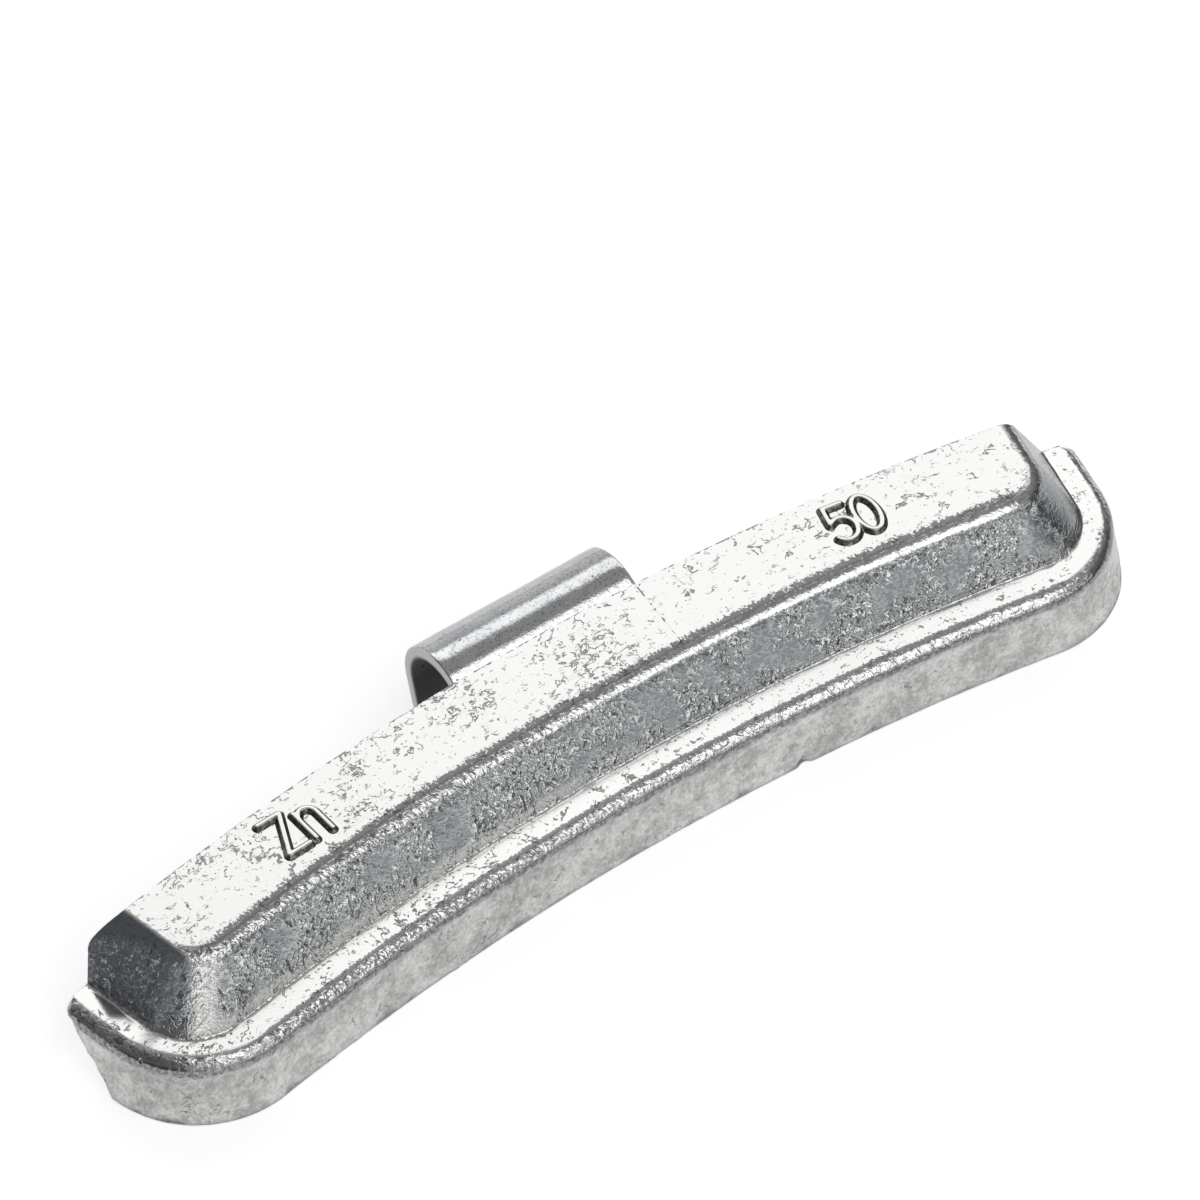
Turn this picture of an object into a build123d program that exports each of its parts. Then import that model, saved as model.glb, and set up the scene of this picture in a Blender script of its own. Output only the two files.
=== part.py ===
from build123d import *
import os
from math import cos, radians, sin, tan

# Knock-on wheel balance weight: a curved zinc casting that lies along the side of a wheel rim,
# with a spring-steel clip cast into its outer edge that grips the rim's lip.
# Millimetres. The wheel axis is parallel to Z, and the marked outboard face is up.
# X runs along the rim, +Y points away from the wheel axis, and the flat inboard face lies at z = 0.
# The origin is on that face, at the middle of the casting's length.
# In each section, x is measured outwards from the casting's concave front and y upwards.

# Casting, plan
front_radius = 192.5       # wheel axis to the concave front, at the shelf's edge
half_angle = 12.0          # degrees about the wheel axis, from the middle to each end
casting_depth = 12.5       # concave front to convex back
seat_offset = 3.5          # concave front to the origin
base_corner = 8.2          # plan radius of the base's front corners
block_corner = 4.4         # plan radius of the raised block's front corners

# Casting, section
shelf_height = 5.4
casting_height = 9.85
front_shelf = 2.85         # shelf's edge to the raised block, along the front
end_shelf = 2.35           # the same at each end
base_draft = 8.0           # degrees from upright, the base's outer walls
front_slope = 28.0         # degrees from upright, the block's front wall
end_slope = 32.0           # degrees from upright, the block's end walls
bevel_depth = 5.15         # inboard back corner, cut away to clear the curl of the rim
bevel_height = 4.8

# Casting, rounded edges
shelf_edge_round = 0.95
top_round = 1.75
root_round = 0.3
bottom_round = 0.2

# Rough stub on the left end, where the casting was broken from its gate
gate_width = 5.9           # from the convex back towards the front
gate_drop = 0.12           # how far the stub's outer edge lies below the marked face
gate_slope = 5.0           # degrees from upright, the stub's end wall
gate_round = 1.3

# Clip, bent from flat spring-steel strip
strip_thickness = 1.0
clip_length = 15.4
slot_behind_casting = 4.8    # convex back to the inside of the free leg, at its furthest
arch_inner_radius = 2.9
arch_rise = 0.45           # top of the arch above the marked face
leg_lean = 15.0            # degrees that the free leg turns in towards the casting
leg_length = 2.9
flare_inner_radius = 1.0
flare_angle = 48.0
tip_corner = 1.5
anchor_riser = 0.55        # straight stretch inside the casting, below the arch
anchor_bend_radius = 0.8
anchor_foot = 2.8

# The revolved section runs past both ends before they are cut
sweep_overrun = 2.0

wheel_axis_y = -(front_radius + seat_offset)
wheel_axis = Axis((0, wheel_axis_y, 0), (0, 0, 1))


# Upright plane through the wheel axis, turned from the middle by an angle towards +X
def radial_plane(angle):
    outward = Vector(sin(radians(angle)), cos(radians(angle)), 0)
    corner = Vector(0, wheel_axis_y, 0) + outward * front_radius
    return Plane(origin=corner, x_dir=outward, z_dir=outward.cross(Vector(0, 0, 1)))


# Plane of an end wall: set back from the end of the shelf, leaning in above shelf height
def end_plane(side, setback, slope):
    angle = radians(half_angle)
    level = Vector(side * cos(angle), -sin(angle), 0)
    point = radial_plane(side * half_angle).origin - level * setback + Vector(0, 0, shelf_height)
    lean = radians(slope)
    return Plane(origin=point, z_dir=level * cos(lean) + Vector(0, 0, sin(lean)))


sweep_angle = half_angle + sweep_overrun
section_start = radial_plane(sweep_angle)
wall_rise = casting_height - shelf_height

# Raised block: sloped front and end walls, flat marked face, upright back
with BuildPart() as raised_block:
    with BuildSketch(section_start):
        with BuildLine():
            Polyline(
                (front_shelf, shelf_height),
                (casting_depth, shelf_height),
                (casting_depth, casting_height),
                (front_shelf + wall_rise * tan(radians(front_slope)), casting_height),
                close=True,
            )
        make_face()
    revolve(axis=wheel_axis, revolution_arc=2 * sweep_angle)
    for side in (1, -1):
        split(bisect_by=end_plane(side, end_shelf, end_slope), keep=Keep.BOTTOM)
    wall_edges = raised_block.faces().filter_by(GeomType.CONE)[0].edges().sort_by(Axis.X)
    fillet([wall_edges[0], wall_edges[-1]], block_corner)
    marked_edges = raised_block.faces().sort_by(Axis.Z)[-1].edges().sort_by(Axis.Y)
    fillet(marked_edges[:-1], top_round)

# Gate stub on the left end: flush with the block's end wall at its front, steep at the back
end_normal = end_plane(-1, 0, 0).z_dir
end_line = radial_plane(-half_angle)
stub_height = wall_rise - gate_drop
stub_root = end_shelf + wall_rise * tan(radians(end_slope)) + top_round
with BuildPart() as gate_stub:
    for back_gap, slope in ((gate_width, end_slope), (0, gate_slope)):
        place = end_line.origin + end_line.x_dir * (casting_depth - back_gap)
        with BuildSketch(Plane(origin=place, x_dir=end_normal, z_dir=end_line.x_dir)):
            with BuildLine():
                Polyline(
                    (-end_shelf, shelf_height),
                    (-end_shelf - stub_height * tan(radians(slope)), shelf_height + stub_height),
                    (-stub_root, casting_height),
                    (-stub_root, shelf_height),
                    close=True,
                )
            make_face()
    loft(ruled=True)
    with Locations((0, wheel_axis_y, casting_height / 2)):
        Cylinder(front_radius + casting_depth, casting_height, mode=Mode.INTERSECT)
    shoulder = gate_stub.faces().sort_by(Axis.Z)[-1].edges().sort_by(Axis.X)[0]
    fillet(shoulder, gate_round)

# Clip: strip bent into a foot inside the casting, an arch over the rim's lip and a free leg
arch_radius = arch_inner_radius + strip_thickness / 2
arch_centre_x = casting_depth + slot_behind_casting - arch_inner_radius
arch_centre_z = casting_height + arch_rise - arch_inner_radius - strip_thickness
bend_radius = anchor_bend_radius + strip_thickness / 2
riser_x = arch_centre_x - arch_radius
foot_z = arch_centre_z - anchor_riser - bend_radius
with BuildPart() as rim_clip:
    with BuildSketch(radial_plane(0)):
        with BuildLine():
            foot = Line((riser_x - bend_radius - anchor_foot, foot_z), (riser_x - bend_radius, foot_z))
            bend = JernArc(foot @ 1, foot % 1, bend_radius, 90)
            riser = Line(bend @ 1, (riser_x, arch_centre_z))
            arch = JernArc(riser @ 1, riser % 1, arch_radius, -180 - leg_lean)
            leg = Line(arch @ 1, arch @ 1 + (arch % 1) * leg_length)
            JernArc(leg @ 1, leg % 1, flare_inner_radius + strip_thickness / 2, flare_angle)
        trace(line_width=strip_thickness)
    extrude(amount=clip_length / 2, both=True)
    tip = rim_clip.faces().sort_by(Axis.Z)[0]
    fillet(tip.edges().filter_by(Axis.X, reverse=True), tip_corner)
rim_clip.part.label = "rim_clip"

# Casting: stepped base and raised block, cast around the clip's anchor
with BuildPart() as zinc_casting:
    with BuildSketch(section_start):
        with BuildLine():
            Polyline(
                (-shelf_height * tan(radians(base_draft)), 0),
                (casting_depth, 0),
                (casting_depth, shelf_height),
                (0, shelf_height),
                close=True,
            )
        make_face()
    revolve(axis=wheel_axis, revolution_arc=2 * sweep_angle)
    for side in (1, -1):
        split(bisect_by=end_plane(side, 0, base_draft), keep=Keep.BOTTOM)
    wall_edges = zinc_casting.faces().filter_by(GeomType.CONE)[0].edges().sort_by(Axis.X)
    fillet([wall_edges[0], wall_edges[-1]], base_corner)
    shelf_edges = zinc_casting.faces().sort_by(Axis.Z)[-1].edges().sort_by(Axis.Y)
    fillet(shelf_edges[:-1], shelf_edge_round)
    bottom_edges = zinc_casting.faces().sort_by(Axis.Z)[0].edges().sort_by(Axis.Y)
    fillet(bottom_edges[:-1], bottom_round)
    with BuildSketch(section_start):
        with BuildLine():
            Polyline(
                (casting_depth - bevel_depth, 0),
                (casting_depth, bevel_height),
                (casting_depth, 0),
                close=True,
            )
        make_face()
    revolve(axis=wheel_axis, revolution_arc=2 * sweep_angle, mode=Mode.SUBTRACT)
    add(raised_block.part)
    root_edges = zinc_casting.edges().filter_by(lambda edge: edge.is_interior)
    fillet(root_edges, root_round)
    add(gate_stub.part)
    add(rim_clip.part, mode=Mode.SUBTRACT)
zinc_casting.part.label = "zinc_casting"

os.makedirs("parts", exist_ok=True)
export_step(zinc_casting.part, "parts/zinc_casting.step")
export_step(rim_clip.part, "parts/rim_clip.step")
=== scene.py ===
import math
import bpy
import bmesh
from mathutils import Matrix, Vector


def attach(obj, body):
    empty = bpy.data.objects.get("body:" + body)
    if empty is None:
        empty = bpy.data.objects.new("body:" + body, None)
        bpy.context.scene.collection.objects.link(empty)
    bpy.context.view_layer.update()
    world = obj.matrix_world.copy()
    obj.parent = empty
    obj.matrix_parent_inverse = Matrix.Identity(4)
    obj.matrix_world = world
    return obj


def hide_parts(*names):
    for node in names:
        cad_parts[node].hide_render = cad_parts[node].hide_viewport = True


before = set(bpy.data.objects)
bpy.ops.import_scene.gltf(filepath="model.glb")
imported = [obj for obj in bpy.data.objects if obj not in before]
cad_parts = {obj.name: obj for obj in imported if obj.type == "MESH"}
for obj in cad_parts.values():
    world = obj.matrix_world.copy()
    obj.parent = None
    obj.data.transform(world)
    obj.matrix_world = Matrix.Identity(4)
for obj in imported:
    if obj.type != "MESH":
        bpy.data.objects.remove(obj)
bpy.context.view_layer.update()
scene = bpy.context.scene
scene.view_settings.view_transform = "Standard"
mm = 0.001                      # sizes below are in millimetres, the frame is in metres
print("frame loaded")


# nodes as Python expressions

class Wire:
    def __init__(self, graph, socket):
        self.graph = graph
        self.socket = socket

    def math(self, operation, *others):
        return self.graph.node("ShaderNodeMath", {"operation": operation}, [self, *others])

    def __add__(self, other):
        return self.math("ADD", other)

    def __radd__(self, other):
        return self.math("ADD", other)

    def __sub__(self, other):
        return self.math("SUBTRACT", other)

    def __rsub__(self, other):
        return self.graph.node("ShaderNodeMath", {"operation": "SUBTRACT"}, [other, self])

    def __mul__(self, other):
        return self.math("MULTIPLY", other)

    def __rmul__(self, other):
        return self.math("MULTIPLY", other)

    def __truediv__(self, other):
        return self.math("DIVIDE", other)

    def __rtruediv__(self, other):
        return self.graph.node("ShaderNodeMath", {"operation": "DIVIDE"}, [other, self])

    def __abs__(self):
        return self.math("ABSOLUTE")

    def ramp(self, low, high):          # 0 at low, 1 at high, smooth between
        settings = {"interpolation_type": "SMOOTHSTEP"}
        return self.graph.node("ShaderNodeMapRange", settings, [self, low, high])

    def most(self, other):
        return self.math("MAXIMUM", other)


class Graph:
    def __init__(self, tree):
        self.tree = tree
        tree.nodes.clear()

    def node(self, kind, settings=None, feeds=None, out=0):
        item = self.tree.nodes.new(kind)
        for name, value in (settings or {}).items():
            setattr(item, name, value)
        live = [socket for socket in item.inputs if socket.enabled]
        pairs = feeds.items() if isinstance(feeds, dict) else enumerate(feeds or [])
        for key, value in pairs:
            socket = live[key] if isinstance(key, int) else next(s for s in live if s.name == key)
            if isinstance(value, Wire):
                self.tree.links.new(value.socket, socket)
            else:
                socket.default_value = value
        shown = [socket for socket in item.outputs if socket.enabled]
        if not shown:
            return item
        socket = shown[out] if isinstance(out, int) else next(s for s in shown if s.name == out)
        return Wire(self, socket)

    def parts(self, vector):
        split = self.node("ShaderNodeSeparateXYZ", None, [vector]).socket.node
        return [Wire(self, socket) for socket in split.outputs]

    def vector(self, x, y, z):
        return self.node("ShaderNodeCombineXYZ", None, [x, y, z])

    def noise(self, vector, scale, detail=2.0, roughness=0.5, distortion=0.0, out="Fac"):
        feeds = {"Vector": vector, "Scale": scale, "Detail": detail, "Roughness": roughness,
                 "Distortion": distortion}
        return self.node("ShaderNodeTexNoise", None, feeds, out)

    # Thin wandering lines, where the noise passes its middle value
    def worms(self, vector, scale, width, detail=2.0, roughness=0.5, distortion=0.0):
        return abs(self.noise(vector, scale, detail, roughness, distortion) - 0.5).ramp(width, 0.0)

    def mix(self, factor, first, second):
        settings = {"data_type": "RGBA"}
        return self.node("ShaderNodeMix", settings, {"Factor": factor, "A": first, "B": second})


def colour(red, green, blue):
    return (red, green, blue, 1.0)


def grey(level):
    return colour(level, level, level)


# the weight's own measures, as in the frame

weight = {
    "frontRadius": 192.5,       # wheel axis to the concave front
    "seatOffset": 3.5,          # concave front to the origin
    "depth": 12.5,
    "shelfHeight": 5.4,
    "height": 9.85,
    "halfAngle": math.radians(12.0),
}
axisY = -(weight["frontRadius"] + weight["seatOffset"])


casting = {
    "baseDraft": 8.0,           # degrees from upright
    "frontSlope": 28.0,
    "endSlope": 32.0,
    "frontShelf": 2.85,         # shelf's edge to the raised block
    "endShelf": 2.35,
    "baseCorner": 8.2,          # corners seen from above
    "blockCorner": 4.4,
    "bottomRound": 0.2,
    "shelfEdge": 0.62,          # width of the flattened shelf edge, its slope and its two rounds
    "shelfEdgeSlope": 35.0,
    "edgeLowRound": 0.55,
    "edgeHighRound": 1.0,
    "rootRound": 0.22,
    "topRound": 1.75,
    "bevelDepth": 5.15,         # inboard back corner
    "bevelHeight": 4.8,
    "backRound": 0.7,           # worn upright edge where an end meets the back
    "gateWidth": 5.9,           # rough stub on the left end
    "gateSlope": 5.0,
    "gateShoulder": 1.5,        # height of the stub's squarish shoulder
    "gateHollow": 2.6,          # how long the stub keeps to the plain end wall before it rises
}


# Along the arc, outwards from the concave front, and up
def polar(graph, position):
    x, y, z = graph.parts(position)
    outY = y - axisY
    angle = x.math("ARCTAN2", outY)
    reach = (x * x + outY * outY).math("SQRT") - weight["frontRadius"]
    return angle * weight["frontRadius"], reach, z


# Distance in from an end wall, at shelf height
def endInset(along, reach):
    return (weight["frontRadius"] * weight["halfAngle"] - abs(along)) * (1 + reach / weight["frontRadius"])


# Broken gate stub at the back of the left end, as ranges that its mask rises over
stubRanges = {
    "inset": (6.3, 5.8),
    "along": (0.0, -1.0),
    "reach": (5.6, 7.2),
    "height": (5.45, 5.75),
}


def stubZone(along, reach, z):
    atEnd = endInset(along, reach).ramp(*stubRanges["inset"]) * along.ramp(*stubRanges["along"])
    return atEnd * reach.ramp(*stubRanges["reach"]) * z.ramp(*stubRanges["height"])


# finishes

def newFinish(name):
    material = bpy.data.materials.new(name)
    material.use_nodes = True
    return material, Graph(material.node_tree)


def millimetres(graph):
    place = graph.node("ShaderNodeTexCoord", None, None, "Object")
    return graph.node("ShaderNodeVectorMath", {"operation": "SCALE"}, {"Vector": place, "Scale": 1 / mm})


def endFinish(graph, tone, roughness, height):
    bump = graph.node("ShaderNodeBump", None, {"Strength": 1.0, "Distance": mm, "Height": height})
    feeds = {"Base Color": tone, "Metallic": 1.0, "Roughness": roughness, "Normal": bump}
    shader = graph.node("ShaderNodeBsdfPrincipled", None, feeds)
    graph.node("ShaderNodeOutputMaterial", None, {"Surface": shader})


zinc = {
    "wallDark": colour(0.275, 0.30, 0.31),
    "wallLight": colour(0.44, 0.46, 0.46),
    "wallFootLit": colour(0.58, 0.58, 0.56),
    "rightEndShade": colour(0.25, 0.265, 0.27),
    "wallLeft": colour(0.42, 0.45, 0.48),
    "cornerHighlight": colour(0.66, 0.665, 0.65),
    "paintedGlint": colour(0.90, 0.91, 0.91),
    "dashShade": colour(0.08, 0.085, 0.09),
    "edge": colour(0.70, 0.705, 0.695),
    "edgeHollowShade": colour(0.30, 0.31, 0.31),
    "underEdgeShade": colour(0.13, 0.135, 0.14),
    "underEdgeShadeLight": colour(0.36, 0.365, 0.37),
    "baseDark": colour(0.33, 0.33, 0.325),
    "baseLight": colour(0.71, 0.71, 0.70),
    "face": colour(0.775, 0.775, 0.76),
    "shelf": colour(0.82, 0.82, 0.805),
    "faceStain": colour(0.74, 0.735, 0.71),
    "frayedShade": colour(0.20, 0.20, 0.20),
    "stub": colour(0.14, 0.15, 0.165),
    "stubGlint": colour(0.66, 0.68, 0.70),
    "crackShade": colour(0.08, 0.08, 0.08),
    "stubFray": 3.0,            # how uneven the borders of the stub and of the base are
    "baseFray": 0.9,
    "leftRise": 0.3,            # how much lower the dull skin ends at the left
    "shelfFall": 0.04,          # slope of the shelf's right half towards its edge
    "endFall": 0.13,            # slope of the shelf beside the stub, where it starts and its direction
    "endFallStart": (-39.5, 6.5),
    "endFallWay": (0.67, -0.75),
    "knot": (1.5, 8.6, 9.85),   # crowd of flow marks in front of the clip
    "seamAlong": 6.5,           # joint of the mould's insert across the marked face
    "seamLean": 0.047,
    "rootHeight": 5.8,          # fine bead at the foot of the front wall
    "rightEnd": 1.2,            # how much wider the plain end wall is at the right
    "rimSoft": 0.05,            # border of the worn rim at the back
    "bend": (1.5, 1.5, 1.5),    # how far the wandering lines are pushed about
    "drawOut": 0.65,            # how much the drawn lines are stretched along the arc
    "roughness": 0.13,
    "wallRough": 0.06,          # added to it by zone
    "baseRough": 0.28,
    "stubRough": 0.16,
    "flawRough": 0.2,
    "mottleRough": 0.1,
    "wallGrain": 0.02,          # heights of the skin
    "wallCurl": 0.07,
    "wallLine": 0.09,
    "dashDepth": 0.05,
    "rootBead": 0.03,
    "edgeComb": 0.11,
    "edgeGrain": 0.012,
    "baseGrain": 0.07,
    "stubGrain": 0.35,
    "faceGrain": 0.003,
    "crackDepth": 0.012,
}


# Values between which each mask of the casting's finish fades from 0 to 1
zincFades = {
    "left": (8.0, -12.0),       # along the arc
    "leftSide": (1.0, -1.0),
    "leftBase": (-34.0, -39.0),
    "rightShelf": (-8.0, 20.0),
    "stubShelf": (-36.0, -38.0),
    "beadEnd": (-2.0, 4.0),
    "stubReach": (5.5, 8.5),    # out from the concave front
    "faceFringe": (6.95, 6.25),
    "shelfFringe": (1.2, 0.95),
    "endWall": (3.5, 2.9),      # in from an end
    "cornerFrom": (3.2, 3.7),
    "cornerTo": (5.4, 4.6),
    "upper": (9.4, 9.7),        # up
    "stubTop": (9.8, 9.3),
    "foot": (6.5, 5.8),
    "shelfEdge": (6.0, 5.5),
    "underEdgeShade": (5.35, 5.15),
    "base": (4.7, 4.2),
    "bottom": (0.5, 0.1),
    "flat": (0.975, 0.995),     # upward part of the normal
    "edge": (0.74, 0.84),
    "underEdgeShadeTilt": (0.72, 0.55),
    "seam": (0.06, 0.02),       # off a line or a point
    "bead": (0.14, 0.04),
    "knot": (5.0, 1.0),
    "cloud": (0.33, 0.67),      # of a noise
    "crowd": (0.42, 0.62),
    "kept": (0.60, 0.66),
    "gaps": (0.56, 0.62),
    "specks": (0.72, 0.76),
    "breaks": (0.50, 0.56),
    "stain": (0.60, 0.72),
    "frayShade": (1.06, 1.16),
    "fringe": (0.0, 0.15),
    "rugged": (0.35, 0.55),
    "short": (0.47, 0.55),
    "pits": (0.58, 0.66),
    "hatch": (0.58, 0.66),
    "dashes": (0.61, 0.67),
    "edgeShadeMask": (-0.01, -0.09),
    "underEdgeShadeBlotch": (0.36, 0.66),
    "baseBlotch": (0.26, 0.52),
    "stubBlotch": (0.53, 0.70),
}
# Noises of the skin: cells per millimetre, detail, roughness, distortion
zincNoise = {
    "mottle": (1.3, 4.0, 0.6),
    "cloud": (0.35, 3.0),
    "drift": (0.8, 2.0),
    "crowd": (0.2, 3.0),
    "tear": (2.2, 2.0),
    "gaps": (0.7, 2.0),
    "specks": (3.4, 2.0),
    "rim": (1.8, 3.0, 0.6),
    "hair": (6.0, 3.0, 0.65),
    "rugged": (0.36, 2.0),
    "short": (2.6, 2.0),
    "pits": (3.2, 2.0, 0.6),
    "hatch": (3.0, 1.0),
    "hatchPatch": (0.5, 1.0),
    "dashes": (2.6, 2.0),
    "grain": (4.0, 3.0, 0.6),
    "curls": (1.1, 2.0, 0.5, 1.5),
    "comb": (2.3, 2.0, 0.5, 0.8),
    "coarse": (3.6, 5.0, 0.7),
    "broken": (2.4, 5.0, 0.65),
}
# Wandering lines: cells per millimetre, width, detail, roughness, distortion
zincLines = {
    "strokes": (1.4, 0.036, 3.0, 0.58, 0.6),
    "hairs": (0.5, 0.022, 3.0, 0.6),
    "curled": (1.3, 0.09, 2.0),
    "drawn": (2.0, 0.115, 2.0),
    "scars": (0.42, 0.012, 4.0, 0.6),
    "stub": (1.6, 0.028, 3.0),
}


def makeCastZinc():
    material, graph = newFinish("castZinc")
    along, reach, z = polar(graph, millimetres(graph))
    nz = graph.parts(graph.node("ShaderNodeNewGeometry", None, None, "Normal"))[2]
    skin = graph.vector(along, reach, z)

    def noise(name, place=skin):
        return graph.noise(place, *zincNoise[name])

    def lines(name, place):
        return graph.worms(place, *zincLines[name])

    def fade(value, name):
        return value.ramp(*zincFades[name])

    left = fade(along, "left")
    leftSide = fade(along, "leftSide")
    endLean = math.tan(math.radians(casting["endSlope"]))
    inset = endInset(along, reach) - (z - weight["shelfHeight"]) * endLean
    ends = fade(inset - (1 - leftSide) * zinc["rightEnd"], "endWall")
    mottle = noise("mottle")
    cloud = fade(noise("cloud"), "cloud")

    # zones: broken stub, bright flat faces, rounded edges, dull base, walls
    stub = stubZone(along, reach + (mottle - 0.5) * zinc["stubFray"], z)
    flat = fade(nz, "flat") * (1 - stub)
    edge = fade(nz, "edge") * (1 - flat) * (1 - stub)
    uneven = z + (mottle - 0.5) * zinc["baseFray"] + fade(along, "leftBase") * zinc["leftRise"]
    base = fade(uneven, "base") * (1 - flat)
    wall = (1 - flat) * (1 - base) * (1 - edge) * (1 - stub)
    # painted shade band under the shelf's rounded edge
    underEdgeShade = fade(z, "underEdgeShade") * (1 - base) * fade(nz, "underEdgeShadeTilt")
    upper = fade(z, "upper")
    shelf = flat * (1 - upper)

    # flow marks on the bright faces, in crowds: sunk into the skin, and darkened in colour as painted shade
    drift = graph.noise(skin, *zincNoise["drift"], out="Color")
    bent = graph.node("ShaderNodeVectorMath", {"operation": "MULTIPLY_ADD"}, [drift, zinc["bend"], skin])
    drawn = graph.vector(along * zinc["drawOut"], reach, z)
    fromKnot = graph.node("ShaderNodeVectorMath", {"operation": "DISTANCE"}, [skin, zinc["knot"]])
    crowd = (fade(noise("crowd"), "crowd") * (0.3 + 0.7 * left)).most(fade(fromKnot, "knot"))
    tear = noise("tear")
    kept = fade(tear + crowd * 0.14, "kept")
    gaps = fade(noise("gaps") + crowd * 0.1, "gaps")
    strokes = lines("strokes", drawn) * kept * (0.45 + 0.55 * crowd)
    hairs = lines("hairs", bent) * gaps
    specks = fade(noise("specks") + crowd * 0.06, "specks")
    wavy = reach + (noise("rim") - 0.5)
    rim = wavy.ramp(weight["depth"] - zinc["rimSoft"], weight["depth"] + zinc["rimSoft"])
    seam = fade(abs(along - zinc["seamAlong"] - reach * zinc["seamLean"]), "seam")
    seam = seam * upper * (0.15 + 0.85 * fade(tear, "breaks"))
    flaws = strokes.most(hairs).most(specks).most(rim).most(seam) * flat
    stain = fade(mottle + crowd * 0.1, "stain")

    # frayed front borders of the bright faces, darkened in colour as painted shade that widens the dark band
    # of the rounded edges
    fringe = upper * fade(reach, "faceFringe") + (1 - upper) * fade(reach, "shelfFringe")
    hair = noise("hair", graph.vector(along + z * 0.5, reach * 0.7, z * 0.5))
    frayShade = fade(hair * 1.7 + fringe * 0.5, "frayShade") * fade(fringe, "fringe") * flat

    # wrinkled, hatched and smooth stretches of the walls
    foot = fade(z, "foot") * (0.2 + 0.8 * left)
    rugged = fade(noise("rugged") - left * 0.04, "rugged")
    short = fade(noise("short"), "short")
    wrinkles = (lines("curled", bent) * short).most(lines("drawn", drawn) * (1 - short))
    pits = fade(noise("pits"), "pits") * rugged * wall * (1 - ends) * (1 - underEdgeShade)
    slanted = graph.vector(along * 1.2 + z, (z - along) * 0.2, reach * 0.2)
    hatch = fade(noise("hatch", slanted), "hatch") * fade(noise("hatchPatch"), "hatch") * left
    glints = (wrinkles * (0.2 + 0.8 * rugged)).most(hatch) * (1 - 0.8 * foot)
    glints = glints * wall * (1 - underEdgeShade) * (1 - 0.85 * ends)
    tall = graph.vector(along, reach * 0.3, z * 0.3)
    dashes = fade(noise("dashes", tall), "dashes") * gaps * wall * (0.3 + 0.7 * left)
    dashes = dashes.most(pits)
    bead = fade(abs(z - zinc["rootHeight"]), "bead") * fade(along, "beadEnd")

    # grain of each zone
    grain = noise("grain") - 0.5
    curls = noise("curls") - 0.5
    comb = noise("comb", graph.vector(along + z * 0.5, reach * 0.8, z * 0.8)) - 0.5
    coarse = noise("coarse")
    broken = noise("broken")
    scars = lines("scars", bent) * gaps * base

    # height of the skin
    height = grain * (zinc["wallGrain"] * wall + zinc["edgeGrain"] * edge + zinc["faceGrain"] * flat)
    height = height + glints * zinc["wallLine"] - dashes * zinc["dashDepth"]
    height = height + wall * curls * zinc["wallCurl"] * (0.2 + 0.8 * left) + wall * bead * zinc["rootBead"]
    combed = 0.3 + 0.7 * left.most(0.6 * fade(z, "shelfEdge"))
    height = height + comb * edge * zinc["edgeComb"] * combed
    height = height + shelf * reach * zinc["shelfFall"] * fade(along, "rightShelf")
    beside = shelf * fade(along, "stubShelf") * fade(reach, "stubReach")
    startAlong, startReach = zinc["endFallStart"]
    wayAlong, wayReach = zinc["endFallWay"]
    fall = (along - startAlong) * wayAlong + (reach - startReach) * wayReach
    height = height + beside * fall * zinc["endFall"]
    height = height + (coarse - 0.5) * base * zinc["baseGrain"] + (broken - 0.5) * stub * zinc["stubGrain"]
    height = height - (flaws + scars) * zinc["crackDepth"]

    # colour, from the walls to the flaws that lie over everything
    tone = graph.mix(cloud, zinc["wallDark"], zinc["wallLight"])
    # end walls get their own tone by side; the right one is darkened as painted shade
    tone = graph.mix(ends, tone, graph.mix(leftSide, zinc["rightEndShade"], zinc["wallLeft"]))
    # painted highlight: the left front corner of the block is lightened in colour
    corner = fade(inset, "cornerFrom") * fade(inset, "cornerTo") * leftSide
    tone = graph.mix(corner, tone, zinc["cornerHighlight"])
    # painted light: the smoother foot of the wall is lightened in colour
    tone = graph.mix(foot * wall, tone, zinc["wallFootLit"])
    # painted highlight: the raised wrinkles and hatching of the walls are lightened in colour as well as
    # bumped
    tone = graph.mix(glints, tone, zinc["paintedGlint"])
    # painted shade: the sunk dashes and pits are darkened in colour
    tone = graph.mix(dashes * 0.85, tone, zinc["dashShade"])
    # painted shade: the hollows of the combed rounded edges are darkened in colour
    edgeShadeMask = fade(comb, "edgeShadeMask") * (0.4 + 0.5 * left)
    tone = graph.mix(edge, tone, graph.mix(edgeShadeMask, zinc["edge"], zinc["edgeHollowShade"]))
    # painted shade: dark band under the shelf's rounded edge, blotched lighter in places
    underEdgeShadeTone = graph.mix(fade(coarse, "underEdgeShadeBlotch"), zinc["underEdgeShade"], zinc["underEdgeShadeLight"])
    tone = graph.mix(underEdgeShade, tone, underEdgeShadeTone)
    blotch = fade(coarse * 0.4 + mottle * 0.3 + cloud * 0.08, "baseBlotch")
    # painted shade: the base darkens towards its bottom edge
    blotch = blotch * (1 - 0.6 * fade(z, "bottom"))
    tone = graph.mix(base, tone, graph.mix(blotch, zinc["baseDark"], zinc["baseLight"]))
    faceTone = graph.mix(stain, zinc["face"], zinc["faceStain"])
    tone = graph.mix(flat, tone, graph.mix(upper, zinc["shelf"], faceTone))
    # painted shade along the frayed borders of the bright faces
    tone = graph.mix(frayShade * (0.7 + 0.2 * upper), tone, zinc["frayedShade"])
    # painted glints: bright specks on the lower part of the broken stub
    sparkle = (fade(coarse, "stubBlotch") * 0.6).most(lines("stub", bent) * short) * fade(z, "stubTop")
    tone = graph.mix(stub, tone, graph.mix(sparkle, zinc["stub"], zinc["stubGlint"]))
    # painted shade: the sunk flow marks, seam, back rim and base scars are darkened in colour
    tone = graph.mix((flaws + scars) * 0.7, tone, zinc["crackShade"])

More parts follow.
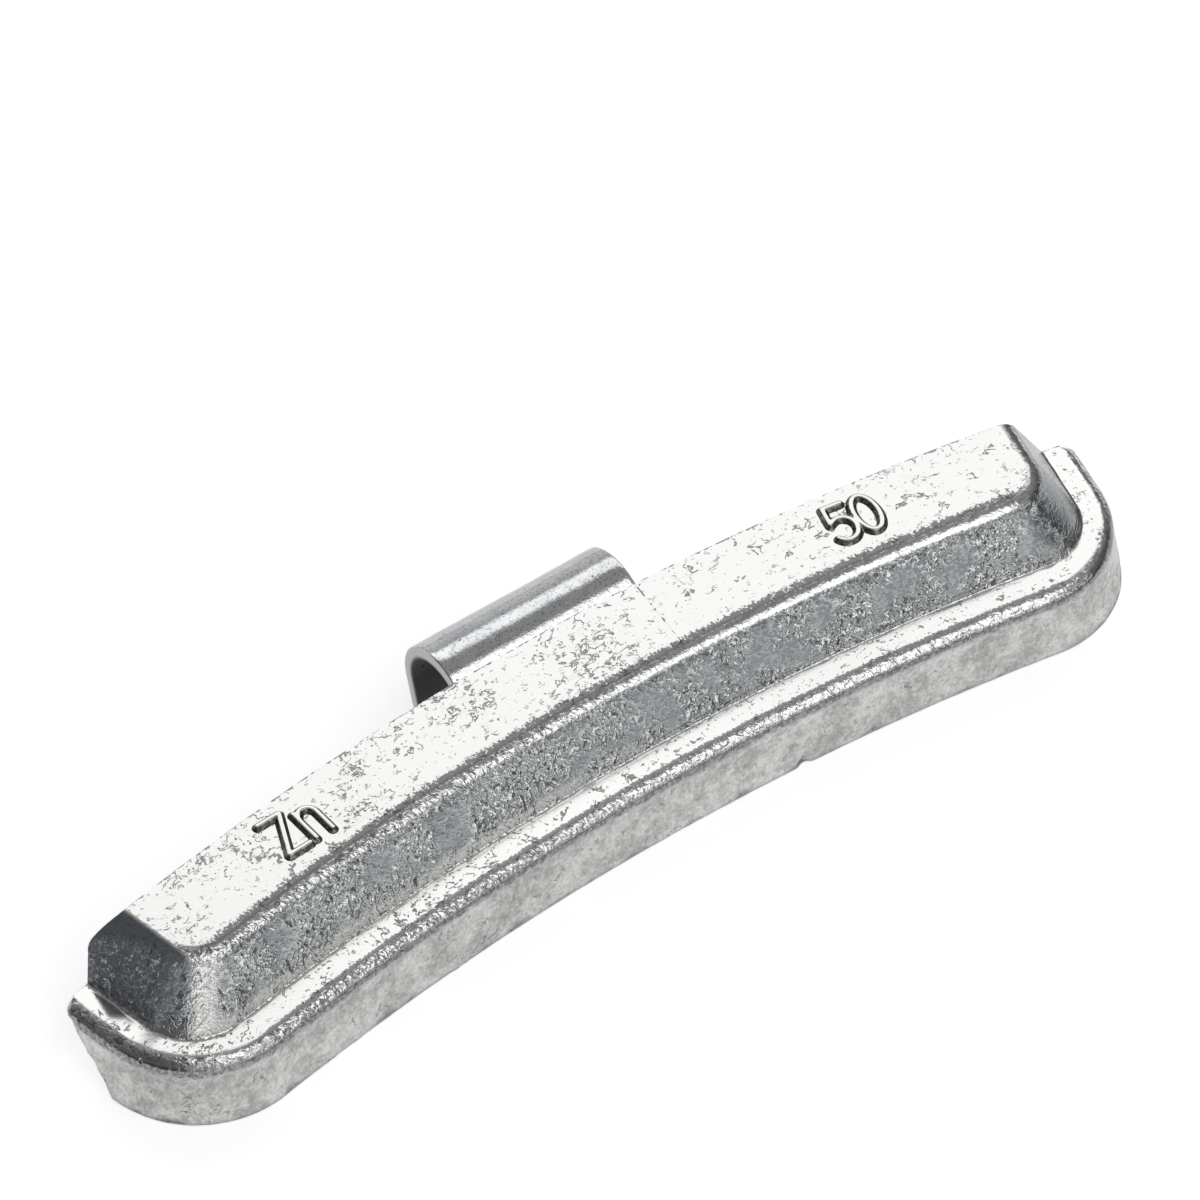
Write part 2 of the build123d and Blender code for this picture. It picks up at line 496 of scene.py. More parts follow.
    roughness = zinc["roughness"] + wall * zinc["wallRough"] + base * zinc["baseRough"]
    roughness = roughness + stub * zinc["stubRough"] + (flaws + frayShade) * zinc["flawRough"]
    roughness = roughness + (mottle - 0.5) * zinc["mottleRough"] * (1 - flat)
    endFinish(graph, tone, roughness, height)
    return material


figureZinc = {
    "top": colour(0.775, 0.775, 0.76),
    "flankShade": colour(0.10, 0.10, 0.095),
    "flankShadeLight": colour(0.34, 0.335, 0.32),
    "grain": 0.012,
    "grainCells": 3.6,          # per millimetre
    "roughness": 0.14,
    "flankRough": 0.2,
}


def makeFigureZinc():
    material, graph = newFinish("figureZinc")
    place = millimetres(graph)
    nz = graph.parts(graph.node("ShaderNodeNewGeometry", None, None, "Normal"))[2]
    grain = graph.noise(place, figureZinc["grainCells"], 3.0, 0.6)
    # painted shade: the steep flanks of the figures are darkened in colour
    flankShade = (nz + (grain - 0.5) * 0.3).ramp(0.97, 0.82)
    side = graph.mix(grain.ramp(0.42, 0.66), figureZinc["flankShade"], figureZinc["flankShadeLight"])
    tone = graph.mix(flankShade, figureZinc["top"], side)
    roughness = figureZinc["roughness"] + flankShade * figureZinc["flankRough"]
    endFinish(graph, tone, roughness, (grain - 0.5) * flankShade * figureZinc["grain"])
    return material


steel = {
    "dark": colour(0.66, 0.67, 0.685),
    "light": colour(0.75, 0.755, 0.76),
    "satin": colour(0.44, 0.445, 0.46),
    # painted shade: the strip's inner face, in the slot, is near black
    "inside": colour(0.10, 0.10, 0.105),
    "cutEnd": colour(0.36, 0.365, 0.375),
    "nick": colour(0.22, 0.22, 0.23),
    "satinFrom": 12.3,          # where the bent side turns dull, and over what width
    "satinSoft": 1.0,
    "grain": 0.009,             # heights of the skin
    "drawn": 0.003,
    "nickDepth": 0.03,
    "roughness": 0.10,
    "satinRough": 0.14,         # added to it
    "insideRough": 0.4,
    "nickRough": 0.2,
    "drawnRough": 0.08,
}
# Pattern of the strip's skin, in cells per millimetre
steelCells = {
    "grain": 5.0,
    "drawn": 1.0,
    "cloud": 0.8,
    "nick": 1.7,
}


def makeSpringSteel():
    material, graph = newFinish("springSteel")
    place = millimetres(graph)
    x, y, z = graph.parts(place)
    inside = graph.node("ShaderNodeAttribute", {"attribute_name": "inside"}, None, "Fac").ramp(0.6, 0.95)
    nx = graph.parts(graph.node("ShaderNodeNewGeometry", None, None, "Normal"))[0]
    grain = graph.noise(place, steelCells["grain"], 3.0, 0.65) - 0.5
    drawn = graph.noise(graph.vector(x * 4.0, y, z), steelCells["drawn"], 4.0, 0.65) - 0.5
    cloud = graph.noise(place, steelCells["cloud"], 3.0).ramp(0.3, 0.7)
    nicks = graph.noise(place, steelCells["nick"], 2.0).ramp(0.70, 0.75)
    tone = graph.mix(cloud, steel["dark"], steel["light"])
    far = y.ramp(steel["satinFrom"], steel["satinFrom"] + steel["satinSoft"])
    tone = graph.mix(far, tone, steel["satin"])
    tone = graph.mix(nicks * 0.8 + grain.ramp(0.01, 0.12) * 0.5, tone, steel["nick"])
    tone = graph.mix(abs(nx).ramp(0.75, 0.95), tone, steel["cutEnd"])
    # painted shade: the strip's inner face, in the slot, is near black
    tone = graph.mix(inside, tone, steel["inside"])
    roughness = steel["roughness"] + far * steel["satinRough"] + inside * steel["insideRough"]
    roughness = roughness + nicks * steel["nickRough"] + drawn * steel["drawnRough"]
    height = grain * steel["grain"] + drawn * steel["drawn"] - nicks * steel["nickDepth"]
    endFinish(graph, tone, roughness, height)
    return material


castFinish = makeCastZinc()
figureFinish = makeFigureZinc()
clipFinish = makeSpringSteel()
print("finishes made")


# mesh helpers

def newObject(name, data):
    piece = bpy.data.objects.new(name, data)
    scene.collection.objects.link(piece)
    return piece


def bake(piece):
    depsgraph = bpy.context.evaluated_depsgraph_get()
    mesh = bpy.data.meshes.new_from_object(piece.evaluated_get(depsgraph), depsgraph=depsgraph)
    piece.modifiers.clear()
    return mesh


def toMetres(piece):
    piece.data.transform(Matrix.Scale(mm, 4))
    return piece


def geometryTree(name, inputs):
    tree = bpy.data.node_groups.new(name, "GeometryNodeTree")
    tree.is_modifier = True
    tree.interface.new_socket("Geometry", in_out="INPUT", socket_type="NodeSocketGeometry")
    names = {}
    for label in inputs:
        socket = tree.interface.new_socket(label, in_out="INPUT", socket_type="NodeSocketFloat")
        names[label] = socket.identifier
    tree.interface.new_socket("Geometry", in_out="OUTPUT", socket_type="NodeSocketGeometry")
    graph = Graph(tree)
    entry = tree.nodes.new("NodeGroupInput")
    wires = {socket.name: Wire(graph, socket) for socket in entry.outputs if socket.name}
    return tree, graph, wires, names


def endTree(graph, geometry, finish):
    whole = graph.node("GeometryNodeRealizeInstances", None, {"Geometry": geometry})
    done = graph.node("GeometryNodeSetMaterial", None, {"Geometry": whole, "Material": finish})
    graph.node("NodeGroupOutput", None, [done])


def runTree(piece, tree, names, values):
    modifier = piece.modifiers.new(tree.name, "NODES")
    modifier.node_group = tree
    for label, identifier in names.items():
        modifier[identifier] = values[label]
    return bake(piece)


# casting

castingMesh = {
    "sectionRuns": [1, 18, 3, 8, 20],   # rows up the straight runs and round the corners of the section
    "sectionArcs": [4, 7, 6, 4, 15],
    "endColumns": 34,
    "cornerColumns": 40,
    "frontColumns": 236,
    "topRows": 26,
    "bottomRows": 14,
    "endCrowding": 1.5,         # columns stand closer towards the back of an end
    "backBlend": 1.4,           # how soon the rows on the back leave the outline of the ends
    "mergeWithin": 0.001,
    "shortEdge": 0.0005,
    "sharpAngle": 35.0,
}


def blend(first, second, share):
    return first + (second - first) * share


def blendPlace(first, second, share):
    return tuple(blend(a, b, share) for a, b in zip(first, second))


# Section as (inset from the shelf's edge, height), from the bottom to the marked face
def roundedSection(shelf, slope):
    shelfHeight, height = weight["shelfHeight"], weight["height"]
    topInset = shelf + (height - shelfHeight) * math.tan(math.radians(slope))
    draft = math.tan(math.radians(casting["baseDraft"]))
    edgeFall = math.tan(math.radians(casting["shelfEdgeSlope"]))
    edgeDrop = casting["shelfEdge"] * edgeFall / (1 - edgeFall * draft)
    corners = [(0, 0), (-shelfHeight * draft, 0), (-edgeDrop * draft, shelfHeight - edgeDrop),
               (casting["shelfEdge"], shelfHeight), (shelf, shelfHeight), (topInset, height),
               (topInset + 1, height)]
    names = ["bottomRound", "edgeLowRound", "edgeHighRound", "rootRound", "topRound"]
    rounds = [casting[name] for name in names]
    points = []
    for index, radius in enumerate(rounds):
        previous, corner, following = [Vector(place) for place in corners[index:index + 3]]
        before = (corner - previous).normalized()
        after = (following - corner).normalized()
        turn = math.atan2(before.x * after.y - before.y * after.x, before.dot(after))
        first = corner - before * radius * math.tan(abs(turn) / 2)
        centre = first + Vector((-before.y, before.x)) * math.copysign(radius, turn)
        runs = castingMesh["sectionRuns"][index]
        arcs = castingMesh["sectionArcs"][index]
        if points:
            start = points[-1]
            points += [start.lerp(first, step / runs) for step in range(1, runs)]
        arm = first - centre
        points += [centre + Matrix.Rotation(turn * step / arcs, 2) @ arm for step in range(arcs + 1)]
    return points


# Back of the gate stub: a steep wall and a squarish shoulder, up to the same edge of the marked face
def gateSection(plain):
    lean = math.tan(math.radians(casting["gateSlope"]))
    arcs = castingMesh["sectionArcs"][-1]
    wallTop = len(plain) - 1 - arcs
    wallFootLit = wallTop - castingMesh["sectionRuns"][-1]
    low = weight["height"] - casting["gateShoulder"]
    points = [place.copy() for place in plain]
    for row in range(wallFootLit, wallTop + 1):
        height = blend(plain[wallFootLit].y, low, (row - wallFootLit) / (wallTop - wallFootLit))
        points[row] = Vector((casting["endShelf"] + (height - weight["shelfHeight"]) * lean, height))
    start, last = points[wallTop], plain[-1]
    for step in range(1, arcs):
        turn = math.pi / 2 * step / arcs
        across = 1 - math.sqrt(math.cos(turn))
        up = math.sqrt(math.sin(turn))
        points[wallTop + step] = Vector((blend(start.x, last.x, across), blend(start.y, last.y, up)))
    return points


def backRadius(z):
    drop = max(casting["bevelHeight"] - z, 0.0)
    return weight["frontRadius"] + weight["depth"] - drop * casting["bevelDepth"] / casting["bevelHeight"]


class CastingPlan:
    def __init__(self):
        self.front = roundedSection(casting["frontShelf"], casting["frontSlope"])
        self.end = roundedSection(casting["endShelf"], casting["endSlope"])
        self.gate = gateSection(self.end)
        self.roundStart = self.front[-1 - castingMesh["sectionArcs"][-1]].x

    def cornerRadius(self, row):
        inset = self.front[row].x
        across = min(max(inset, 0.0) / casting["frontShelf"], 1.0)
        radius = blend(casting["baseCorner"], casting["blockCorner"], across)
        return radius - max(inset - self.roundStart, 0.0)

    # Section of an end, which turns into the gate stub towards the back of the left one
    def endSection(self, side, zone, share):
        if side > 0 or zone != "end":
            return self.end
        radius = self.place(side, zone, share, len(self.end) - 1, self.end)[1]
        stub = 1 - (weight["frontRadius"] + weight["depth"] - radius) / casting["gateWidth"]
        stub = min(max(stub, 0.0), 1.0) ** casting["gateHollow"]
        return [plain.lerp(steep, stub) for plain, steep in zip(self.end, self.gate)]

    # Angle, radius and height about the wheel axis. Share runs from the back to the front over an end
    # and over a corner, and from -1 to 1 along the front.
    def place(self, side, zone, share, row, end):
        front = weight["frontRadius"] + self.front[row].x
        corner = self.cornerRadius(row)
        inset, height = end[row]
        level = -self.end[row].x - corner
        out = math.sqrt((front + corner) ** 2 - level ** 2)
        if zone == "front":
            return share * (weight["halfAngle"] + math.atan2(level, out)), front, self.front[row].y
        if zone == "corner":
            turn = blend(math.pi / 2, math.atan2(-level, -out), share)
            height = blend(height, self.front[row].y, share)
            out += corner * math.cos(turn)
            level += corner * math.sin(turn)
        else:
            back = math.sqrt(backRadius(height) ** 2 - inset ** 2)
            level = self.end[row].y / weight["shelfHeight"]
            worn = casting["backRound"] * level if level < 1 else 0.0
            worn = min(max(worn, 0.001), max(back - out, 0.001))
            near = min(max(1 - (back - out) * share / worn, 0.0), 1.0)
            out = blend(back, out, share)
            level = -inset - worn * (1 - math.sqrt(1 - near ** 2))
        return side * (weight["halfAngle"] + math.atan2(level, out)), math.hypot(level, out), height


def castingColumns(plan):
    ends, corners, fronts = [castingMesh[key] for key in ("endColumns", "cornerColumns", "frontColumns")]
    half = [("end", (step / ends) ** castingMesh["endCrowding"]) for step in range(ends)]
    half += [("corner", step / corners) for step in range(corners)]
    columns = [(-1, zone, share) for zone, share in half]
    columns += [(1, "front", 2 * step / fronts - 1) for step in range(fronts + 1)]
    columns += [(1, zone, share) for zone, share in reversed(half)]
    outline = []
    for side, zone, share in columns:
        end = plan.endSection(side, zone, share)
        outline.append([plan.place(side, zone, share, row, end) for row in range(len(end))])
    return outline


# Rows on the back follow the outline of each end there, and even out between the ends
def backColumn(left, right, share):
    column = []
    for row, (first, last) in enumerate(zip(left, right)):
        run = (last[0] - first[0]) * weight["frontRadius"] / castingMesh["backBlend"]
        height = weight["height"] * row / (len(left) - 1)
        height += (first[2] - height) * math.exp(-(share * run) ** 2)
        height += (last[2] - height) * math.exp(-((1 - share) * run) ** 2)
        column.append((blend(first[0], last[0], share), backRadius(height), height))
    return column


def castingRings():
    outline = castingColumns(CastingPlan())
    left, right = outline[0], outline[-1]
    last = len(outline) - 1
    margin = castingMesh["endColumns"] + castingMesh["cornerColumns"]
    tops = [(column[-1][0] - left[-1][0]) / (right[-1][0] - left[-1][0]) for column in outline]
    rings = []
    for index, column in enumerate(outline):
        share = tops[index]
        if index < margin:
            share = tops[margin] * index / margin
        elif index > last - margin:
            share = 1 - (1 - tops[last - margin]) * (last - index) / margin
        back = backColumn(left, right, share)
        top = [blendPlace(column[-1], back[-1], step / castingMesh["topRows"])
               for step in range(1, castingMesh["topRows"])]
        bottom = [blendPlace(back[0], column[0], step / castingMesh["bottomRows"])
                  for step in range(1, castingMesh["bottomRows"])]
        rings.append(column + top + back[::-1] + bottom)
    return rings


def makeCastingMesh():
    rings = castingRings()
    work = bmesh.new()
    columns = [[work.verts.new((math.sin(angle) * radius, math.cos(angle) * radius + axisY, height))
                for angle, radius, height in ring] for ring in rings]
    for first, second in zip(columns, columns[1:]):
        for row in range(len(first)):
            after = (row + 1) % len(first)
            work.faces.new((first[row], second[row], second[after], first[after]))
    bmesh.ops.remove_doubles(work, verts=work.verts, dist=castingMesh["mergeWithin"])
    bmesh.ops.dissolve_degenerate(work, edges=work.edges, dist=castingMesh["shortEdge"])
    bmesh.ops.recalc_face_normals(work, faces=work.faces)
    mesh = bpy.data.meshes.new("castBody")
    work.to_mesh(mesh)
    work.free()
    mesh.shade_smooth()
    mesh.set_sharp_from_angle(angle=math.radians(castingMesh["sharpAngle"]))
    return mesh


castSkin = {
    "swell": 0.06,              # slow waves of the cast skin
    "swellSize": 5.0,
    "grain": 0.05,              # uneven skin of the walls
    "grainSize": 1.1,
    "ragged": 0.75,             # chipped lower edge
    "raggedSize": 1.5,
    "chips": 0.5,               # chipped edge of the bevel at the ends
    "chipSize": 0.8,
    "broken": 0.45,             # rough break on the gate stub
    "brokenSize": 0.6,
}
# Ranges that the masks of the skin rise over
skinRanges = {
    "flat": (0.97, 0.995),      # upward part of the normal
    "side": (-0.5, 0.0),
    "lowBand": (1.1, 0.1),      # up
    "bevelTop": (5.3, 4.6),
    "bevelFoot": (0.2, 1.2),
    "brink": (1.3, 0.1),        # in from the bevel, and in from an end
    "brinkEnd": (1.6, 0.9),
}
# Dents as (place, radius, depth)
dents = [
    ((30.0, 0.2, 9.8), 0.45, 0.1),
    ((29.3, 0.45, 9.8), 0.35, 0.06),
    ((12.3, -4.6, 0.35), 0.75, 0.45),
    ((11.2, 5.45, 9.85), 0.3, 0.06),
]


def makeSkinTree():
    tree, graph, wires, names = geometryTree("castSkin", castSkin)
    place = graph.node("GeometryNodeInputPosition")
    normal = graph.node("GeometryNodeInputNormal")
    along, reach, z = polar(graph, place)
    nz = graph.parts(normal)[2]
    flat = nz.ramp(*skinRanges["flat"])
    swell = (graph.noise(place, 1.0 / wires["swellSize"]) - 0.5) * wires["swell"] * (1 - 0.85 * flat)
    grain = (graph.noise(place, 1.0 / wires["grainSize"], 3.0) - 0.5) * wires["grain"] * (1 - 0.95 * flat)
    low = z.ramp(*skinRanges["lowBand"]) * nz.ramp(*skinRanges["side"])
    foot = graph.vector(along, reach, 0.0)
    ragged = (graph.noise(foot, 1.0 / wires["raggedSize"], 3.0) - 0.6) * low * wires["ragged"]
    stub = stubZone(along, reach, z)
    rim = reach.ramp(weight["depth"] - 0.05, weight["depth"] - 0.5)
    broken = (graph.noise(place, 1.0 / wires["brokenSize"], 4.0, 0.6) - 0.5) * wires["broken"] * stub * rim
    cut = (casting["bevelHeight"] - z).most(0.0) * casting["bevelDepth"] / casting["bevelHeight"]
    brink = (weight["depth"] - cut - reach).ramp(*skinRanges["brink"])
    brink = brink * endInset(along, reach).ramp(*skinRanges["brinkEnd"])
    brink = brink * z.ramp(*skinRanges["bevelTop"]) * z.ramp(*skinRanges["bevelFoot"])
    chips = (graph.noise(place, 1.0 / wires["chipSize"], 3.0) - 0.62) * wires["chips"] * brink
    lift = swell + grain + ragged + broken + chips
    for spot, radius, depth in dents:
        away = graph.node("ShaderNodeVectorMath", {"operation": "DISTANCE"}, [place, spot])
        lift = lift - away.ramp(radius, 0.0) * depth
    offset = graph.node("ShaderNodeVectorMath", {"operation": "SCALE"}, {"Vector": normal, "Scale": lift})
    moved = graph.node("GeometryNodeSetPosition", None, {"Geometry": wires["Geometry"], "Offset": offset})
    px, py, pz = graph.parts(graph.node("GeometryNodeInputPosition"))
    grounded = graph.vector(px, py, pz.most(0.0))
    moved = graph.node("GeometryNodeSetPosition", None, {"Geometry": moved, "Position": grounded})
    endTree(graph, moved, castFinish)
    return tree, names


def makeCasting():
    piece = newObject("castBody", makeCastingMesh())
    tree, names = makeSkinTree()
    piece.data = runTree(piece, tree, names, castSkin)
    print("casting", len(piece.data.vertices), "points")
    return toMetres(piece)


castBody = makeCasting()


# raised figures on the marked face

figures = {
    "topWidth": 0.3,
    "footWidth": 0.9,
    "strokeHeight": 0.38,       # from the sunk foot
    "spacing": 0.06,            # studs along a stroke
    "sink": 0.06,
    "studSides": 24,
    "arcStep": 10.0,            # degrees
    "voxel": 0.05,
    "smoothing": 0.5,           # strength and rounds
    "smoothRounds": 4,
    "capHeight": 3.3,
}
# Strokes on a grid of one cap height: points, with arcs as (centre, radii, from, to in degrees)
glyphs = {
    "Z": [[(0.0, 1.0), (0.54, 1.0), (0.06, 0.0), (0.58, 0.0)]],
    "n": [[(0.0, 0.0), (0.0, 0.78)],
          [(0.0, 0.5), ((0.21, 0.55), (0.21, 0.23), 180, 0), (0.42, 0.0)]],
    "5": [[(0.50, 1.0), (0.08, 1.0), (0.04, 0.55), ((0.26, 0.32), (0.28, 0.32), 125, -145)]],
    "0": [[((0.26, 0.5), (0.26, 0.5), 90, 450)]],
}
# Glyph, lower left corner and turn in degrees
marks = {
    "markSymbol": [("Z", (-25.45, 2.92), 3.0), ("n", (-22.98, 3.1), 3.0)],
    "markGrams": [("5", (21.12, 3.3), -9.0), ("0", (23.16, 3.0), -9.0)],
}


def strokePoints(stroke):
    points = []
    for item in stroke:
        if isinstance(item[0], tuple):
            centre, radii, first, last = item
            steps = max(6, int(abs(last - first) / figures["arcStep"]))
            for step in range(steps + 1):
                turn = math.radians(blend(first, last, step / steps))
                x = centre[0] + radii[0] * math.cos(turn)
                y = centre[1] + radii[1] * math.sin(turn)
                points.append((x, y))
        else:
            points.append(item)
    return points


def makeStrokeTree():
    inputs = ["topWidth", "footWidth", "strokeHeight", "spacing"]
    tree, graph, wires, names = geometryTree("strokeStuds", inputs)
    feeds = {"Curve": wires["Geometry"], "Length": wires["spacing"]}
    studs = graph.node("GeometryNodeCurveToPoints", {"mode": "LENGTH"}, feeds)
    feeds = {"Vertices": figures["studSides"], "Radius Top": wires["topWidth"] * 0.5,
             "Radius Bottom": wires["footWidth"] * 0.5, "Depth": wires["strokeHeight"]}
    stud = graph.node("GeometryNodeMeshCone", None, feeds)
    placed = graph.node("GeometryNodeInstanceOnPoints", None, {"Points": studs, "Instance": stud})
    endTree(graph, placed, figureFinish)
    return tree, names


def makeFigures(name, letters, tree, names):
    curve = bpy.data.curves.new(name, "CURVE")
    curve.dimensions = "3D"
    level = weight["height"] - figures["sink"]
    for letter, corner, turn in letters:
        spin = Matrix.Rotation(math.radians(turn), 2)
        for stroke in glyphs[letter]:
            points = strokePoints(stroke)
            spline = curve.splines.new("POLY")
            spline.points.add(len(points) - 1)
            for point, flat in zip(spline.points, points):
                spot = spin @ Vector(flat) * figures["capHeight"]
                point.co = (corner[0] + spot.x, corner[1] + spot.y, level, 1.0)
    path = newObject(name + "Path", curve)
    mesh = runTree(path, tree, names, figures)
    bpy.data.objects.remove(path)
    piece = newObject(name, mesh)
    remesh = piece.modifiers.new("skin", "REMESH")
    remesh.mode = "VOXEL"
    remesh.voxel_size = figures["voxel"]
    smooth = piece.modifiers.new("soft", "SMOOTH")
    smooth.factor = figures["smoothing"]
    smooth.iterations = figures["smoothRounds"]
    piece.data = bake(piece)
    piece.data.shade_smooth()
    piece.data.materials.clear()
    piece.data.materials.append(figureFinish)
    print(name, len(piece.data.vertices), "points")
    return toMetres(piece)


strokeTree, strokeNames = makeStrokeTree()
markPieces = [makeFigures(name, letters, strokeTree, strokeNames) for name, letters in marks.items()]


# clip

clip = {
    "thickness": 1.0,
    "length": 15.4,
    "slot": 4.8,                # casting's back to the inside of the free leg
    "archRadius": 2.9,          # inside
    "archRise": 0.45,
    "legLean": 15.0,
    "legLength": 2.9,
    "flareRadius": 1.0,
    "flareAngle": 48.0,
    "tipCorner": 1.5,
    "riser": 0.55,
    "bendRadius": 0.8,
    "foot": 2.8,
    "edgeRound": 0.13,          # sheared edges
    "edgeSteps": 4,
    "step": 0.1,                # along the strip
    "widthStep": 0.25,
}
clipSkin = {
    "sway": 0.3,                # uneven far side, where the strip was bent
    "swaySize": 4.5,
    "dent": 0.015,
    "dentSize": 0.9,
}
archY = weight["depth"] + clip["slot"] - clip["archRadius"] - weight["seatOffset"]
archZ = weight["height"] + clip["archRise"] - clip["archRadius"] - clip["thickness"]


class StripPath:
    def __init__(self, y, z, heading):
        self.place = Vector((y, z))
        self.heading = math.radians(heading)
        self.points = [self.place.copy()]

    def run(self, length):
        steps = max(1, round(length / clip["step"]))
        way = Vector((math.cos(self.heading), math.sin(self.heading)))
        start = self.place.copy()
        for step in range(1, steps + 1):
            self.points.append(start + way * length * step / steps)
        self.place = self.points[-1].copy()

    def bend(self, radius, angle):      # positive turns left
        side = math.copysign(1.0, angle)
        steps = max(2, round(radius * math.radians(abs(angle)) / clip["step"]))
        centre = self.place + radius * side * Vector((-math.sin(self.heading), math.cos(self.heading)))
        start = self.heading
        for step in range(1, steps + 1):
            self.heading = start + math.radians(angle) * step / steps
            arm = Vector((math.sin(self.heading), -math.cos(self.heading)))
            self.points.append(centre + radius * side * arm)
        self.place = self.points[-1].copy()


def clipPath():
    half = clip["thickness"] / 2
    archRadius = clip["archRadius"] + half
    bendRadius = clip["bendRadius"] + half
    footY = archY - archRadius - bendRadius - clip["foot"]
    footZ = archZ - clip["riser"] - bendRadius
    path = StripPath(footY, footZ, 0.0)
    path.run(clip["foot"])
    path.bend(bendRadius, 90)
    path.run(clip["riser"])
    path.bend(archRadius, -180 - clip["legLean"])
    path.run(clip["legLength"])
    path.bend(clip["flareRadius"] + half, clip["flareAngle"])
    return path.points


def stripOutline():
    halfWidth = clip["length"] / 2
    halfThick = clip["thickness"] / 2
    rounding = clip["edgeRound"]
    steps = round(clip["length"] / clip["widthStep"])
    outline = []
    for side in (1, -1):
        for quarter in (0, 1):
            middle = (side * (1 - 2 * quarter) * (halfWidth - rounding), side * (halfThick - rounding))
            for step in range(clip["edgeSteps"] + 1):
                turn = math.radians(90 * (quarter + step / clip["edgeSteps"]) + (0 if side > 0 else 180))
                across = middle[0] + rounding * math.cos(turn)
                thick = middle[1] + rounding * math.sin(turn)
                outline.append((across, thick))
            if quarter == 0:
                for step in range(1, steps):
                    outline.append((side * (halfWidth - rounding) * (1 - 2 * step / steps), side * halfThick))
    return outline


def makeClipMesh():
    points = clipPath()
    outline = stripOutline()
    halfWidth = clip["length"] / 2
    corner = clip["tipCorner"]
    tip = points[-1]
    work = bmesh.new()
    inside = work.verts.layers.float.new("inside")
    rings = []
    for index, point in enumerate(points):
        before = points[max(index - 1, 0)]
        after = points[min(index + 1, len(points) - 1)]
        way = (after - before).normalized()
        side = Vector((-way.y, way.x))
        away = (point - tip).length
        pull = 0.0 if away > corner else corner - math.sqrt(max(corner ** 2 - (corner - away) ** 2, 0.0))
        narrow = 1 - pull / halfWidth
        ring = []
        for across, thick in outline:
            spot = point + side * thick
            vertex = work.verts.new((across * narrow, spot.x, spot.y))
            vertex[inside] = 0.5 - thick / clip["thickness"]
            ring.append(vertex)
        rings.append(ring)
    count = len(outline)
    for first, second in zip(rings, rings[1:]):
        for index in range(count):
            after = (index + 1) % count
            work.faces.new((first[index], first[after], second[after], second[index]))
    work.faces.new(rings[0])
    work.faces.new(rings[-1][::-1])
    bmesh.ops.recalc_face_normals(work, faces=work.faces)
    mesh = bpy.data.meshes.new("clipStrip")
    work.to_mesh(mesh)
    work.free()
    mesh.shade_smooth()
    return mesh


def makeClipTree():
    tree, graph, wires, names = geometryTree("clipSkin", clipSkin)
    place = graph.node("GeometryNodeInputPosition")
    normal = graph.node("GeometryNodeInputNormal")
    x, y, z = graph.parts(place)
    far = y.ramp(archY, archY + clip["archRadius"])
    bare = y.ramp(archY - clip["archRadius"], archY)
    sway = (graph.noise(graph.vector(x, 0.0, 0.0), 1.0 / wires["swaySize"]) - 0.5) * wires["sway"] * far
    dent = (graph.noise(place, 1.0 / wires["dentSize"], 3.0) - 0.5) * wires["dent"] * bare
    push = graph.vector(0.0, sway, 0.0)
    skin = graph.node("ShaderNodeVectorMath", {"operation": "SCALE"}, {"Vector": normal, "Scale": dent})
    offset = graph.node("ShaderNodeVectorMath", {"operation": "ADD"}, [push, skin])
    moved = graph.node("GeometryNodeSetPosition", None, {"Geometry": wires["Geometry"], "Offset": offset})
    endTree(graph, moved, clipFinish)
    return tree, names


def makeClip():
    piece = newObject("clipStrip", makeClipMesh())
    tree, names = makeClipTree()
    piece.data = runTree(piece, tree, names, clipSkin)
    print("clip", len(piece.data.vertices), "points")
    return toMetres(piece)


clipStrip = makeClip()


# pieces on the frame

def setOn(piece, node):
    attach(piece, "root")
    if node:
        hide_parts(node)


setOn(castBody, "zinc_casting")
for piece in markPieces:
    setOn(piece, None)
setOn(clipStrip, "rim_clip")


# floor, light and camera

studio = {
    "floorSize": 5000.0,
    # painted pool of light: the floor is pale around the weight and darker far out
    "floorNear": 0.9,           # floor colour around the weight
    "floorFar": 0.42,
    "nearReach": 260.0,         # where the pool of light starts to fade, and where it ends
    "farReach": 600.0,
    "floorGlow": 0.58,          # its own light, where the camera or the metal sees it
    "floorRough": 0.9,
    "worldFront": 0.80,         # low light in front, at the sides and behind, and overhead
    "worldSide": 0.13,
    "worldBack": 0.63,
    "worldHigh": 0.30,
    "worldCorner": 1.6,         # bright strip in front on the left, and dark high on the left
    "worldLeft": 0.12,
}
# Ranges that the parts of the sky rise over, in the direction's x, y or z
skyRanges = {
    "front": (0.75, 0.45),
    "stripFrom": (-0.60, -0.50),
    "stripTo": (-0.08, -0.18),
    "stripFront": (-0.5, -0.7),
    "back": (0.45, 0.85),
    "left": (-0.2, -0.55),
    "high": (0.1, 0.8),
}
# Soft boxes: direction as azimuth from +X and height in degrees, distance, width, length, radiance
softBoxes = {
    "backBox": (54.0, 44.8, 1000.0, 1100.0, 390.0, 0.93),
    "frontBox": (-79.0, 62.0, 1000.0, 840.0, 530.0, 1.4),
}


def seenRays(graph, kinds):
    total = None
    for kind in kinds:
        ray = graph.node("ShaderNodeLightPath", None, None, f"Is {kind} Ray")
        total = total.most(ray) if total else ray
    return total


